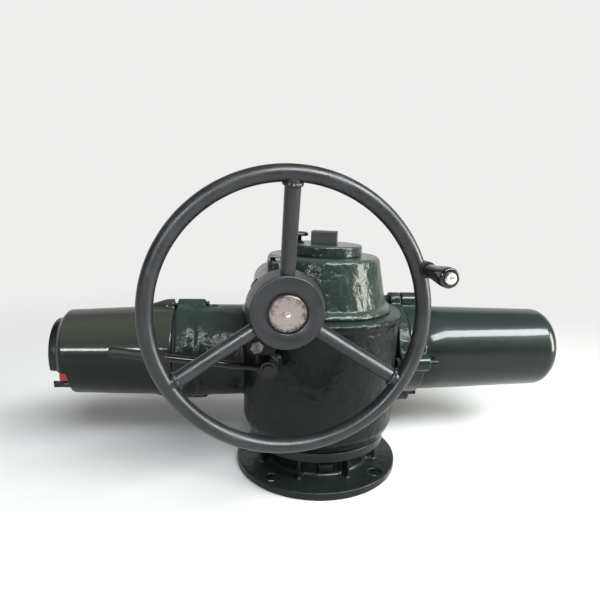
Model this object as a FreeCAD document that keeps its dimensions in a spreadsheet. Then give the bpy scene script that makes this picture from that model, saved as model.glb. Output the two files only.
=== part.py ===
import FreeCAD, Part
import os
import re

# Multi-turn electric valve actuator. Origin: centre of the base flange's underside.
# +Z up, the handwheel faces -Y, the electrical cover is at -X and the motor at +X.

vector = FreeCAD.Vector
doc = FreeCAD.newDocument("valve_actuator")

# Driving sizes in millimetres and degrees: one cell each, bound by name
SIZES = {
    # base
    "flange_radius": 112.5, "flange_thick": 11, "flange_hole_radius": 9, "flange_circle": 97.5,
    "neck_radius": 73, "base_ring_radius": 93.5, "base_ring_bottom": 33, "base_top": 54,
    "base_mouth": 40, "seal_seat_radius": 46, "seal_bottom": 10, "seal_top": 20,
    "thrust_bearing_radius": 54, "thrust_bearing_bottom": 23, "thrust_bearing_top": 42,
    "spigot_radius": 78, "cap_spigot_inner": 30, "spigot_rise": 6, "rib_thick": 4, "rib_reach": 79.5, "rib_top": 31,
    "front_pad_width": 22, "front_pad_reach": 76, "front_pad_bottom": 19, "front_pad_top": 27,
    # gear case
    "barrel_radius": 103.6, "barrel_foot_radius": 94.5, "barrel_round": 9, "barrel_wall": 10,
    "lip_radius": 106.5, "lip_bottom": 213, "case_top": 223.5, "case_floor": 62, "case_roof": 214,
    "arm_offset": 55, "arm_height": 147, "arm_radius": 65, "arm_inner_radius": 53,
    "arm_end": 177, "arm_bulkhead": 104, "arm_band_radius": 67, "arm_band_width": 4,
    "worm_seat_radius": 21, "worm_bearing_width": 12, "worm_bearing_place": 80,
    "motor_arm_radius": 60, "motor_face": 128, "motor_flange_thick": 18, "motor_flange_radius": 71,
    "motor_lug_radius": 12, "motor_bolt_radius": 4, "motor_lug_circle": 74, "motor_inner_radius": 48, "motor_bulkhead": 104,
    # top housing
    "cone_low_radius": 84.5, "cone_high_radius": 73, "cone_top": 293, "cone_wall": 10,
    "cone_ring_radius": 92, "cone_ring_top": 231.4, "cone_roof": 280,
    "hand_offset": 63.5, "hand_height": 250, "hand_housing_radius": 26, "hand_front": 112,
    "hand_back": 56, "hand_nose_radius": 34, "hand_nose_length": 13, "hand_bore": 20,
    "cap_radius": 49.4, "cap_thick": 14, "plug_side": 33, "plug_height": 16, "plug_turn": 14,
    "top_bearing_radius": 44, "top_bearing_thick": 12,
    # output train
    "sleeve_radius": 26, "sleeve_bore": 20.5, "sleeve_low_radius": 36, "sleeve_collar_radius": 42,
    "sleeve_mid_radius": 32, "sleeve_bottom": 3, "sleeve_collar_top": 50, "sleeve_step": 132,
    "sleeve_top": 292, "bush_height": 60, "bush_bore": 15, "bush_wall": 5.4,
    "wheel_tip": 41, "wheel_width": 28, "wheel_hub_radius": 38, "wheel_hub_rise": 3,
    "hand_wheel_tip": 50, "hand_wheel_width": 24, "hand_hub_radius": 38, "hand_hub_bottom": 217,
    "hand_hub_top": 266, "clutch_radius": 40, "clutch_bottom": 168, "clutch_length": 28,
    "clutch_groove": 9, "clutch_groove_radius": 34, "clutch_groove_height": 177,
    "circlip_thick": 2,
    # worm and motor
    "worm_tip": 16.3, "worm_root": 11, "worm_length": 60, "worm_shaft_radius": 10,
    "rotor_radius": 27, "rotor_start": 185, "rotor_length": 90, "rotor_shaft_radius": 9,
    "stator_radius": 54, "stator_length": 84, "stator_gap": 0.6,
    "shield_thick": 24, "motor_cover_radius": 64, "motor_cover_end_radius": 60, "motor_end": 370,
    "motor_cover_wall": 6, "motor_cover_round": 24, "motor_bearing_radius": 20,
    # handwheel
    "wheel_radius": 134, "rim_tube": 8, "wheel_plane": 180, "hub_face": 161, "hub_depth": 26,
    "hub_face_radius": 37.5, "hub_back_radius": 42, "hand_shaft_end_radius": 19, "spoke_radius": 7.75,
    "hand_shaft_radius": 12.5, "hand_tail_radius": 8, "hand_worm_tip": 12.4, "hand_worm_length": 56,
    "hand_neck_radius": 9, "hand_cap_thick": 6, "hand_bearing_thick": 14, "hand_screw_circle": 29,
    "crank_angle": 21, "crank_circle": 140, "crank_boss_radius": 8, "crank_boss_front": 191,
    "crank_length": 50, "crank_spindle_radius": 4, "crank_neck_radius": 6.5, "crank_grip_radius": 9.2,
    # declutch lever
    "lever_offset": 78, "lever_height": 170, "lever_boss_radius": 14, "lever_boss_front": 90,
    "lever_shaft_radius": 7, "lever_hub_radius": 10.5, "lever_hub_width": 15, "lever_rod_radius": 3.6,
    "lever_length": 175, "lever_grip_length": 62, "lever_grip_radius": 5.6, "lever_tilt": 7.5,
    "stop_offset": 91, "stop_height": 195, "stop_boss_radius": 12, "stop_boss_length": 13,
    "stop_boss_front": 92, "stop_bolt_radius": 4, "stop_head_radius": 7.8, "stop_head_height": 7,
    # electrical side
    "cover_flange": 197, "cover_low_radius": 63.6, "cover_end_radius": 57.2, "cover_end": 338,
    "cover_wall": 5, "bezel_thick": 24, "bezel_face_radius": 44, "bezel_cut": 32, "flange_radius_left": 69,
    "lug_radius": 9, "lug_circle": 65, "lug_bolt_radius": 3, "gasket_thick": 3,
    "knob_radius": 8.5, "knob_length": 20, "knob_shaft_radius": 4, "knob_drop": 41,
    "red_knob_offset": 2, "black_knob_offset": 21,
    # clearances
    "running_gap": 0.05, "fit_gap": 0.03, "face_gap": 0.1,
}

sheet = doc.addObject("Spreadsheet::Sheet", "Sizes")
for row, (alias, value) in enumerate(SIZES.items(), start=1):
    sheet.set("A%d" % row, alias)
    sheet.set("B%d" % row, str(value))
    sheet.setAlias("B%d" % row, alias)
doc.recompute()

NAME = re.compile(r"[a-z][a-z0-9_]*")
TURNS = {
    "z": FreeCAD.Rotation(),
    "x": FreeCAD.Rotation(vector(0, 1, 0), 90),
    "-x": FreeCAD.Rotation(vector(0, 1, 0), -90),
    "y": FreeCAD.Rotation(vector(1, 0, 0), -90),
    "-y": FreeCAD.Rotation(vector(1, 0, 0), 90),
    "-z": FreeCAD.Rotation(vector(1, 0, 0), 180),
}
ORIGIN = (0, 0, 0)


def formula(text):
    """An expression with the sheet's name in front of each size."""
    return NAME.sub(lambda m: "Sizes." + m.group() if m.group() in SIZES else m.group(), str(text))


def bind(item, **cells):
    for prop, text in cells.items():
        item.setExpression(prop, formula(text))


def place(item, at=ORIGIN, along="z"):
    turn = TURNS[along] if isinstance(along, str) else along
    item.Placement = FreeCAD.Placement(vector(), turn)
    for axis, text in zip("xyz", at):
        item.setExpression("Placement.Base." + axis, formula(text))
    return item


def cylinder(name, radius, height, at=ORIGIN, along="z"):
    item = doc.addObject("Part::Cylinder", name)
    bind(item, Radius=radius, Height=height)
    return place(item, at, along)


def cone(name, radius, end_radius, height, at=ORIGIN, along="z"):
    item = doc.addObject("Part::Cone", name)
    bind(item, Radius1=radius, Radius2=end_radius, Height=height)
    return place(item, at, along)


def box(name, length, width, height, at=ORIGIN, along="z"):
    item = doc.addObject("Part::Box", name)
    bind(item, Length=length, Width=width, Height=height)
    return place(item, at, along)


def prism(name, radius, height, at=ORIGIN, along="z"):
    item = doc.addObject("Part::Prism", name)
    item.Polygon = 6
    bind(item, Circumradius=radius, Height=height)
    return place(item, at, along)


def chain(kind, name, items):
    """One boolean after another, which holds where a single one of many pieces doesn't."""
    whole = items[0]
    for k, item in enumerate(items[1:], start=2):
        step = doc.addObject(kind, name if k == len(items) else "%s_step_%d" % (name, k))
        step.Base = whole
        step.Tool = item
        whole = step
    whole.Refine = True
    return whole


def fuse(name, *items):
    return chain("Part::Fuse", name, items)


def cut(name, *items):
    return chain("Part::Cut", name, items)


def group(name, *items):
    item = doc.addObject("Part::Compound", name)
    item.Links = list(items)
    return item


def sketch_outline(body, name, points):
    """A closed outline on the body's XZ plane, every corner held by two bound distances."""
    import Sketcher
    sketch = body.newObject("Sketcher::SketchObject", name)
    plane = [f for f in body.Origin.OriginFeatures if f.Role == "XZ_Plane"][0]
    sketch.AttachmentSupport = [(plane, "")]
    sketch.MapMode = "FlatFace"
    count = len(points)
    start = [vector(20 * k + 5, 7 * k * k + 3, 0) for k in range(count)]
    for k in range(count):
        sketch.addGeometry(Part.LineSegment(start[k], start[(k + 1) % count]), False)
    for k in range(count):
        sketch.addConstraint(Sketcher.Constraint("Coincident", k, 2, (k + 1) % count, 1))
    for k, (across, up) in enumerate(points):
        held = sketch.addConstraint(Sketcher.Constraint("DistanceX", -1, 1, k, 1, start[k].x))
        sketch.setExpression("Constraints[%d]" % held, formula(across))
        held = sketch.addConstraint(Sketcher.Constraint("DistanceY", -1, 1, k, 1, start[k].y))
        sketch.setExpression("Constraints[%d]" % held, formula(up))
    return sketch


def turned(name, points, at=ORIGIN, along="z"):
    """A body turned about its own axis from (radius, height) corners."""
    body = doc.addObject("PartDesign::Body", name)
    sketch = sketch_outline(body, name + "_profile", points)
    turn = body.newObject("PartDesign::Revolution", name + "_turn")
    turn.Profile = sketch
    turn.ReferenceAxis = (sketch, ["V_Axis"])
    turn.Angle = 360
    sketch.Visibility = False
    return place(body, at, along)


def ring(name, inner, outer, height, at=ORIGIN, along="z"):
    return turned(name, [(inner, 0), (outer, 0), (outer, height), (inner, height)], at, along)


def size(name):
    return sheet.get(name)


def round_rings(body, radius, wanted, kind="Fillet"):
    """Fillets or chamfers the body's circular edges that lie at (radius, height) of wanted."""
    doc.recompute()
    base = body.Tip
    names = []
    for number, edge in enumerate(base.Shape.Edges, start=1):
        if not isinstance(edge.Curve, Part.Circle):
            continue
        middle = base.Placement.inverse().multVec(edge.Curve.Center)
        for across, up in wanted:
            if abs(edge.Curve.Radius - across) < 0.01 and abs(middle.z - up) < 0.01:
                names.append("Edge%d" % number)
    softened = body.newObject("PartDesign::" + kind, body.Name + "_" + kind.lower() + "_" + names[0])
    softened.Base = (base, names)
    bind(softened, **{"Radius" if kind == "Fillet" else "Size": radius})
    return body


nodes = []


def node(item, label=None):
    item.Label = label or item.Name
    nodes.append(item)
    return item


def hex_bolts(name, places, head_radius, head_height, shank_radius, shank_length, along):
    """One node with a hexagon head bolt at each place, the head on the side of `along`."""
    bolts = []
    back = along[1:] if along.startswith("-") else "-" + along
    for k, at in enumerate(places, start=1):
        head = prism("%s_head_%d" % (name, k), head_radius, head_height, at, along)
        shank = cylinder("%s_shank_%d" % (name, k), shank_radius, shank_length, at, back)
        bolts.append(fuse("%s_%d" % (name, k), head, shank))
    return node(group(name, *bolts))


def around(radius, angle, centre, plane="xy"):
    """The place at an angle on a circle, as expressions."""
    x, y, z = centre
    first = "(%s)*cos(%s)" % (radius, angle)
    second = "(%s)*sin(%s)" % (radius, angle)
    if plane == "xy":
        return ("%s+%s" % (x, first), "%s+%s" % (y, second), z)
    if plane == "yz":
        return (x, "%s+%s" % (y, first), "%s+%s" % (z, second))
    return ("%s+%s" % (x, first), y, "%s+%s" % (z, second))


ARM = ("0", "arm_offset", "arm_height")
WHEEL = ("-hand_offset", "0", "hand_height")

# Thrust base: flange, ribbed neck, ring and spigot
base_blank = turned("base_blank", [
    ("base_mouth", 0), ("flange_radius", 0), ("flange_radius", "flange_thick"),
    ("neck_radius", "flange_thick"), ("neck_radius", "base_ring_bottom-6"),
    ("base_ring_radius-2", "base_ring_bottom"), ("base_ring_radius", "base_ring_bottom+2"),
    ("base_ring_radius", "base_top"), ("spigot_radius", "base_top"),
    ("spigot_radius", "base_top+spigot_rise"), ("thrust_bearing_radius+6", "base_top+spigot_rise"),
    ("thrust_bearing_radius+6", "thrust_bearing_top+3"), ("thrust_bearing_radius", "thrust_bearing_top+3"),
    ("thrust_bearing_radius", "thrust_bearing_bottom"), ("seal_seat_radius", "thrust_bearing_bottom"),
    ("seal_seat_radius", "seal_bottom"), ("base_mouth", "seal_bottom")])
round_rings(base_blank, 1.5, [(size("flange_radius"), size("flange_thick")), (size("flange_radius"), 0)])
ribs = []
for k in range(8):
    angle = 22.5 + 45 * k
    rib = box("base_rib_%d" % k, "rib_reach-neck_radius+6", "rib_thick", "rib_top-flange_thick+2",
              along=FreeCAD.Rotation(vector(0, 0, 1), angle))
    rib.setExpression("Placement.Base.x", formula("(neck_radius-6)*cos(%s)+rib_thick/2*sin(%s)" % (angle, angle)))
    rib.setExpression("Placement.Base.y", formula("(neck_radius-6)*sin(%s)-rib_thick/2*cos(%s)" % (angle, angle)))
    rib.setExpression("Placement.Base.z", formula("flange_thick-1"))
    ribs.append(rib)
pad = box("base_pad", "front_pad_width", "10", "front_pad_top-front_pad_bottom",
          ("-front_pad_width/2", "-front_pad_reach", "front_pad_bottom"))
base_solid = fuse("base_solid", base_blank, pad, *ribs)
holes = [cylinder("flange_hole_%d" % k, "flange_hole_radius", "flange_thick+2",
                  around("flange_circle", 45 + 90 * k, ("0", "0", "-1"))) for k in range(4)]
node(cut("thrust_base", base_solid, *holes))

# Gear case: barrel, two arms, lever boss and stop boss
barrel = turned("barrel", [
    ("0", "base_top"), ("barrel_foot_radius", "base_top"), ("barrel_radius", "base_top+barrel_round*2"),
    ("barrel_radius", "lip_bottom"), ("lip_radius", "lip_bottom+2"), ("lip_radius", "case_top-3"),
    ("lip_radius-3", "case_top"), ("0", "case_top")])
left_arm = cylinder("left_arm", "arm_radius", "arm_end", ("0", "arm_offset", "arm_height"), "-x")
left_ring = cylinder("left_ring", "flange_radius_left", "cover_flange-arm_end-gasket_thick",
                     ("-arm_end", "arm_offset", "arm_height"), "-x")
bands = [cylinder("arm_band_%d" % k, "arm_band_radius", "arm_band_width",
                  ("-arm_end+%d" % place_in, "arm_offset", "arm_height"), "x")
         for k, place_in in enumerate((1, 11))]
left_lugs = [cylinder("left_lug_%d" % k, "lug_radius", "cover_flange-gasket_thick-arm_end+22",
                      around("lug_circle", angle, ("-cover_flange+gasket_thick", "arm_offset", "arm_height"), "yz"),
                      "x") for k, angle in enumerate((90, 270, 0))]
right_arm = cylinder("right_arm", "motor_arm_radius", "motor_face", ARM, "x")
right_flange = cylinder("right_flange", "motor_flange_radius", "motor_flange_thick",
                        ("motor_face-motor_flange_thick", "arm_offset", "arm_height"), "x")
right_lugs = [cylinder("right_lug_%d" % k, "motor_lug_radius", "motor_flange_thick",
                       around("motor_lug_circle", angle,
                              ("motor_face-motor_flange_thick", "arm_offset", "arm_height"), "yz"), "x")
              for k, angle in enumerate((0, 90, 180, 270))]
lever_boss = cylinder("lever_boss", "lever_boss_radius", "lever_boss_front-30",
                      ("-lever_offset", "-lever_boss_front", "lever_height"), "y")
stop_bosses = [cylinder("stop_boss_%d" % k, "stop_boss_radius", "stop_boss_front-30",
                        ("-stop_offset+%s" % shift, "-stop_boss_front", "stop_height"), "y")
               for k, shift in enumerate(("0", "stop_boss_length"))]
case_outer = fuse("case_outer", barrel, left_arm, left_ring, *bands, *left_lugs, right_arm, right_flange,
                  *right_lugs, lever_boss, *stop_bosses)
chamber = cylinder("case_chamber", "barrel_radius-barrel_wall", "case_roof-case_floor",
                   ("0", "0", "case_floor"))
mouth = cylinder("case_mouth", "spigot_radius+fit_gap", "case_top", ("0", "0", "case_roof-1"))
foot = cylinder("case_foot", "spigot_radius+fit_gap", "case_floor-base_top+2", ("0", "0", "base_top-1"))
left_room = cylinder("left_room", "arm_inner_radius", "cover_flange",
                     ("-arm_bulkhead", "arm_offset", "arm_height"), "-x")
right_room = cylinder("right_room", "motor_inner_radius", "motor_face",
                      ("motor_bulkhead", "arm_offset", "arm_height"), "x")
worm_bore = cylinder("worm_bore", "worm_seat_radius", "motor_bulkhead*2+20",
                     ("-arm_bulkhead-10", "arm_offset", "arm_height"), "x")
lever_bore = cylinder("lever_bore", "lever_shaft_radius+running_gap", "lever_boss_front",
                      ("-lever_offset", "-lever_boss_front-1", "lever_height"), "y")
stop_bore = cylinder("stop_bore", "stop_bolt_radius+fit_gap", 22,
                     ("-stop_offset", "-stop_boss_front-1", "stop_height"), "y")
left_bores = [cylinder("left_bore_%d" % k, "lug_bolt_radius+fit_gap", 60,
                       around("lug_circle", angle, ("-cover_flange-5", "arm_offset", "arm_height"), "yz"), "x")
              for k, angle in enumerate((90, 270, 0))]
left_faces = [cylinder("left_spot_face_%d" % k, "lug_bolt_radius+3.8", 16,
                       around("lug_circle", angle, ("-arm_end+22", "arm_offset", "arm_height"), "yz"), "x")
              for k, angle in enumerate((90, 270, 0))]
right_bores = [cylinder("right_bore_%d" % k, "motor_bolt_radius+fit_gap", 60,
                        around("motor_lug_circle", angle,
                               ("motor_face-motor_flange_thick-5", "arm_offset", "arm_height"), "yz"), "x")
               for k, angle in enumerate((0, 90, 180, 270))]
node(cut("gear_case", case_outer, chamber, mouth, foot, left_room, right_room, worm_bore, lever_bore,
         stop_bore, *left_bores, *left_faces, *right_bores))

# Top housing: cone with its ring, the handwheel shaft's housing across its left side
cone_body = turned("cone_body", [
    ("0", "case_roof+2"), ("spigot_radius", "case_roof+2"), ("spigot_radius", "case_top"),
    ("cone_ring_radius", "case_top"), ("cone_ring_radius", "cone_ring_top-4"),
    ("cone_ring_radius-1.5", "cone_ring_top-4"), ("cone_ring_radius-1.5", "cone_ring_top-2"),
    ("cone_ring_radius-3", "cone_ring_top"), ("cone_low_radius", "cone_ring_top"),
    ("cone_high_radius", "cone_top-3"), ("cone_high_radius-3", "cone_top"), ("0", "cone_top")])
hand_tube = cylinder("hand_tube", "hand_housing_radius", "hand_front+hand_back",
                     ("-hand_offset", "-hand_front", "hand_height"), "y")
hand_nose = cylinder("hand_nose", "hand_nose_radius", "hand_nose_length",
                     ("-hand_offset", "-hand_front", "hand_height"), "y")
oil_boss = cone("oil_boss", 10, 8, "44", ("-hand_offset-9", "-hand_front+10", "hand_height+2"), "z")
housing_outer = fuse("housing_outer", cone_body, hand_tube, hand_nose, oil_boss)
cone_room = cylinder("cone_room", "cone_high_radius-cone_wall", "cone_roof-case_roof+1",
                     ("0", "0", "case_roof+1"))
cone_seat = cylinder("cone_seat", "top_bearing_radius", "30", ("0", "0", "cone_roof-1"))
cone_mouth = cylinder("cone_mouth", "top_bearing_radius-6", "60", ("0", "0", "cone_roof-1"))
hand_room = cylinder("hand_room", "hand_bore", "hand_front+hand_back-6",
                     ("-hand_offset", "-hand_front-1", "hand_height"), "y")
hand_seat = cylinder("hand_seat", "hand_bore+4", "19",
                     ("-hand_offset", "-hand_front-1", "hand_height"), "y")
oil_bore = cylinder("oil_bore", 5, 30, ("-hand_offset-9", "-hand_front+10", "hand_height+30"))
node(cut("top_housing", housing_outer, cone_room, cone_mouth, hand_room, hand_seat, oil_bore))

# Cap disk over the sleeve's end, with the square headed plug
node(turned("cap_disk", [
    ("plug_side/2-3", "cone_top"), ("cap_radius", "cone_top"), ("cap_radius", "cone_top+cap_thick-1.5"),
    ("cap_radius-1.5", "cone_top+cap_thick"), ("plug_side/2-3", "cone_top+cap_thick")]))
plug_head = box("plug_head", "plug_side", "plug_side", "plug_height",
                along=FreeCAD.Rotation(vector(0, 0, 1), -size("plug_turn")))
plug_head.setExpression("Placement.Base.x", formula("-plug_side/2*cos(plug_turn)-plug_side/2*sin(plug_turn)"))
plug_head.setExpression("Placement.Base.y", formula("plug_side/2*sin(plug_turn)-plug_side/2*cos(plug_turn)"))
plug_head.setExpression("Placement.Base.z", formula("cone_top+cap_thick"))
plug_shank = cylinder("plug_shank", "plug_side/2-3-fit_gap", "cap_thick-1", ("0", "0", "cone_top+1"))
node(fuse("stem_plug", plug_head, plug_shank))

# Output train on the column's axis
node(turned("drive_sleeve", [
    ("sleeve_bore", "sleeve_bottom"), ("sleeve_low_radius", "sleeve_bottom"),
    ("sleeve_low_radius", "thrust_bearing_top+face_gap"), ("sleeve_collar_radius", "thrust_bearing_top+face_gap"),
    ("sleeve_collar_radius", "sleeve_collar_top"), ("sleeve_mid_radius", "sleeve_collar_top"),
    ("sleeve_mid_radius", "sleeve_step"), ("sleeve_radius", "sleeve_step"),
    ("sleeve_radius", "sleeve_top"), ("sleeve_bore", "sleeve_top")]))
node(ring("drive_bush", "bush_bore", "sleeve_bore-fit_gap", "bush_height", ("0", "0", "sleeve_bottom")))
node(ring("lower_seal", "sleeve_low_radius+running_gap", "seal_seat_radius-fit_gap", "seal_top-seal_bottom",
          ("0", "0", "seal_bottom")))
node(ring("thrust_bearing", "sleeve_low_radius+running_gap", "thrust_bearing_radius-fit_gap",
          "thrust_bearing_top-thrust_bearing_bottom", ("0", "0", "thrust_bearing_bottom")))
node(ring("top_bearing", "sleeve_radius+running_gap", "top_bearing_radius-6-fit_gap", "top_bearing_thick",
          ("0", "0", "cone_top-top_bearing_thick")))
node(turned("worm_wheel", [
    ("sleeve_radius+fit_gap", "sleeve_step"), ("wheel_hub_radius", "sleeve_step"),
    ("wheel_hub_radius", "arm_height-wheel_width/2"), ("wheel_tip", "arm_height-wheel_width/2"),
    ("wheel_tip", "arm_height-8.8"), ("wheel_tip-1.7", "arm_height-5.5"), ("wheel_tip-2.6", "arm_height-2"),
    ("wheel_tip-2.6", "arm_height+2"), ("wheel_tip-1.7", "arm_height+5.5"), ("wheel_tip", "arm_height+8.8"),
    ("wheel_tip", "arm_height+wheel_width/2"), ("wheel_hub_radius", "arm_height+wheel_width/2"),
    ("wheel_hub_radius", "arm_height+wheel_width/2+wheel_hub_rise"),
    ("sleeve_radius+fit_gap", "arm_height+wheel_width/2+wheel_hub_rise")]))
node(turned("hand_gear", [
    ("sleeve_radius+running_gap", "hand_hub_bottom"), ("hand_hub_radius", "hand_hub_bottom"),
    ("hand_hub_radius", "hand_height-hand_wheel_width/2"),
    ("hand_wheel_tip", "hand_height-hand_wheel_width/2"), ("hand_wheel_tip", "hand_height+hand_wheel_width/2"),
    ("hand_hub_radius", "hand_height+hand_wheel_width/2"), ("hand_hub_radius", "hand_hub_top"),
    ("sleeve_radius+running_gap", "hand_hub_top")]))
node(ring("gear_spacer", "sleeve_radius+fit_gap", "sleeve_radius+7", "cone_top-top_bearing_thick-hand_hub_top-face_gap*2",
          ("0", "0", "hand_hub_top+face_gap")))
node(turned("clutch_ring", [
    ("sleeve_radius+running_gap", "clutch_bottom"), ("clutch_radius", "clutch_bottom"),
    ("clutch_radius", "clutch_groove_height"), ("clutch_groove_radius", "clutch_groove_height"),
    ("clutch_groove_radius", "clutch_groove_height+clutch_groove"),
    ("clutch_radius", "clutch_groove_height+clutch_groove"), ("clutch_radius", "clutch_bottom+clutch_length"),
    ("sleeve_radius+running_gap", "clutch_bottom+clutch_length")]))

# Worm, its bearings and the motor on the arms' axis
node(turned("worm_shaft", [
    ("0", "-worm_bearing_place-14"), ("worm_shaft_radius", "-worm_bearing_place-14"),
    ("worm_shaft_radius", "-worm_length/2-6"), ("worm_root", "-worm_length/2-6"),
    ("worm_root", "-worm_length/2"), ("worm_tip", "-worm_length/2"), ("worm_tip", "worm_length/2"),
    ("worm_root", "worm_length/2"), ("worm_root", "worm_length/2+6"),
    ("worm_shaft_radius", "worm_length/2+6"), ("worm_shaft_radius", "motor_bulkhead+10"),
    ("0", "motor_bulkhead+10")], ARM, "x"))
for label, start in (("worm_bearing_left", "-worm_bearing_place-worm_bearing_width"),
                     ("worm_bearing_right", "worm_bearing_place")):
    node(ring(label, "worm_shaft_radius+running_gap", "worm_seat_radius-fit_gap", "worm_bearing_width",
              (start, "arm_offset", "arm_height"), "x"))
node(ring("motor_coupling", "rotor_shaft_radius+fit_gap+1", "worm_shaft_radius+8", "18",
          ("motor_bulkhead+2", "arm_offset", "arm_height"), "x"))
node(turned("motor_rotor", [
    ("0", "motor_bulkhead+10.2"), ("rotor_shaft_radius+1", "motor_bulkhead+10.2"),
    ("rotor_shaft_radius+1", "motor_face-4"), ("rotor_shaft_radius", "motor_face-4"),
    ("rotor_shaft_radius", "rotor_start"), ("rotor_radius", "rotor_start"),
    ("rotor_radius", "rotor_start+rotor_length"), ("rotor_shaft_radius", "rotor_start+rotor_length"),
    ("rotor_shaft_radius", "motor_end-56"), ("0", "motor_end-56")], ARM, "x"))
shield_ring = turned("shield_ring", [
    ("motor_bearing_radius", "motor_face"), ("motor_flange_radius-3", "motor_face"),
    ("motor_flange_radius-3", "motor_face+shield_thick"), ("motor_bearing_radius", "motor_face+shield_thick")],
    ARM, "x")
shield_lugs = [cylinder("shield_lug_%d" % k, "motor_lug_radius", "shield_thick",
                        around("motor_lug_circle", angle, ("motor_face", "arm_offset", "arm_height"), "yz"), "x")
               for k, angle in enumerate((0, 90, 180, 270))]
shield_bores = group("shield_bores", *[
    cylinder("shield_bore_%d" % k, "motor_bolt_radius+fit_gap", "shield_thick+10",
             around("motor_lug_circle", angle, ("motor_face-5", "arm_offset", "arm_height"), "yz"), "x")
    for k, angle in enumerate((0, 90, 180, 270))])
node(cut("motor_shield", fuse("shield_outer", shield_ring, *shield_lugs), shield_bores))
node(ring("motor_front_bearing", "rotor_shaft_radius+running_gap", "motor_bearing_radius-fit_gap", "12",
          ("motor_face+6", "arm_offset", "arm_height"), "x"))
cover_shell = turned("motor_shell", [
    ("stator_radius+fit_gap", "motor_face+shield_thick"), ("motor_cover_radius", "motor_face+shield_thick"),
    ("motor_cover_end_radius", "motor_end-motor_cover_round"),
    ("motor_cover_end_radius-2.5", "motor_end-motor_cover_round*0.6"),
    ("motor_cover_end_radius-8.5", "motor_end-motor_cover_round*0.25"),
    ("motor_cover_end_radius-motor_cover_round*0.8", "motor_end"), ("0", "motor_end"),
    ("0", "motor_end-motor_cover_wall"), ("stator_radius-14", "motor_end-motor_cover_wall"),
    ("stator_radius+fit_gap", "motor_end-motor_cover_round-2")], ARM, "x")
cover_lugs = [cylinder("motor_cover_lug_%d" % k, "motor_lug_radius-2", "24",
                       around("motor_lug_circle-1", angle,
                              ("motor_face+shield_thick", "arm_offset", "arm_height"), "yz"), "x")
              for k, angle in enumerate((0, 90, 180, 270))]
cover_bores = group("motor_cover_bores", *[
    cylinder("motor_cover_bore_%d" % k, "motor_bolt_radius+fit_gap", "18",
             around("motor_lug_circle", angle, ("motor_face+shield_thick-1", "arm_offset", "arm_height"), "yz"), "x")
    for k, angle in enumerate((0, 90, 180, 270))])
node(cut("motor_cover", fuse("motor_cover_outer", cover_shell, *cover_lugs), cover_bores))
node(ring("stator", "rotor_radius+stator_gap", "stator_radius", "stator_length",
          ("rotor_start+3", "arm_offset", "arm_height"), "x"))
node(ring("motor_end_bracket", "motor_bearing_radius", "stator_radius", "14",
          ("motor_end-76", "arm_offset", "arm_height"), "x"))
node(ring("motor_rear_bearing", "rotor_shaft_radius+running_gap", "motor_bearing_radius-fit_gap", "12",
          ("motor_end-75", "arm_offset", "arm_height"), "x"))
hex_bolts("motor_bolts", [
    around("motor_lug_circle", angle, ("motor_face-motor_flange_thick", "arm_offset", "arm_height"), "yz")
    for angle in (0, 90, 180, 270)], "motor_bolt_radius+3.5", "5.3", "motor_bolt_radius", "motor_flange_thick+shield_thick+14", "-x")

# Handwheel: rim, spokes, hub, shaft with the hand worm, bearings
rim = doc.addObject("Part::Torus", "handwheel_rim")
bind(rim, Radius1="wheel_radius", Radius2="rim_tube")
node(place(rim, ("-hand_offset", "-wheel_plane", "hand_height"), "y"))
node(turned("handwheel_hub", [
    ("hand_shaft_end_radius+fit_gap", "0"), ("hub_face_radius-1", "0"), ("hub_face_radius", "1"),
    ("hub_back_radius", "hub_depth-6"), ("hub_back_radius", "hub_depth"),
    ("hand_shaft_end_radius+fit_gap", "hub_depth")], ("-hand_offset", "-hub_face", "hand_height"), "y"))
spokes = []
start_radius, start_depth = size("hub_face_radius") - 8, size("hub_face") - size("hub_depth") * 0.5
for k, angle in enumerate((90, 210, 330)):
    spoke = cylinder("spoke_%d" % k, "spoke_radius",
                     "sqrt((wheel_radius-hub_face_radius+8)^2+(wheel_plane-hub_face+hub_depth*0.5)^2)",
                     around("hub_face_radius-8", angle, ("-hand_offset", "-hub_face+hub_depth*0.5", "hand_height"), "xz"))
    across = size("wheel_radius") - start_radius
    turn = FreeCAD.Rotation(vector(0, 1, 0), -angle)
    spoke.Placement.Rotation = FreeCAD.Rotation(
        vector(0, 0, 1), turn.multVec(vector(across, start_depth - size("wheel_plane"), 0)))
    spokes.append(cut("spoke_trimmed_%d" % k, spoke, rim, doc.handwheel_hub))
node(group("handwheel_spokes", *spokes))
node(turned("handwheel_shaft", [
    ("0", "0"), ("hand_shaft_end_radius-1.2", "0"), ("hand_shaft_end_radius", "1.2"),
    ("hand_shaft_end_radius", "hub_depth+6"), ("hand_shaft_radius", "hub_depth+6"),
    ("hand_shaft_radius", "hub_face+1.5-hand_front+20"), ("hand_neck_radius", "hub_face+1.5-hand_front+20"),
    ("hand_neck_radius", "hub_face+1.5-hand_worm_length/2"), ("hand_worm_tip", "hub_face+1.5-hand_worm_length/2"),
    ("hand_worm_tip", "hub_face+1.5+hand_worm_length/2"), ("hand_tail_radius", "hub_face+1.5+hand_worm_length/2"),
    ("hand_tail_radius", "hub_face+1.5+hand_back-9"), ("0", "hub_face+1.5+hand_back-9")],
    ("-hand_offset", "-hub_face-1.5", "hand_height"), "y"))
node(ring("hand_front_bearing", "hand_shaft_radius+running_gap", "hand_bore+4-fit_gap", "hand_bearing_thick",
          ("-hand_offset", "-hand_front+4", "hand_height"), "y"))
node(ring("hand_rear_bearing", "hand_tail_radius+running_gap", "hand_bore-fit_gap", "12",
          ("-hand_offset", "hand_back-22", "hand_height"), "y"))
node(ring("hand_bearing_cap", "hand_shaft_radius+0.5", "hand_nose_radius", "hand_cap_thick",
          ("-hand_offset", "-hand_front-hand_cap_thick", "hand_height"), "y"))

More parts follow.
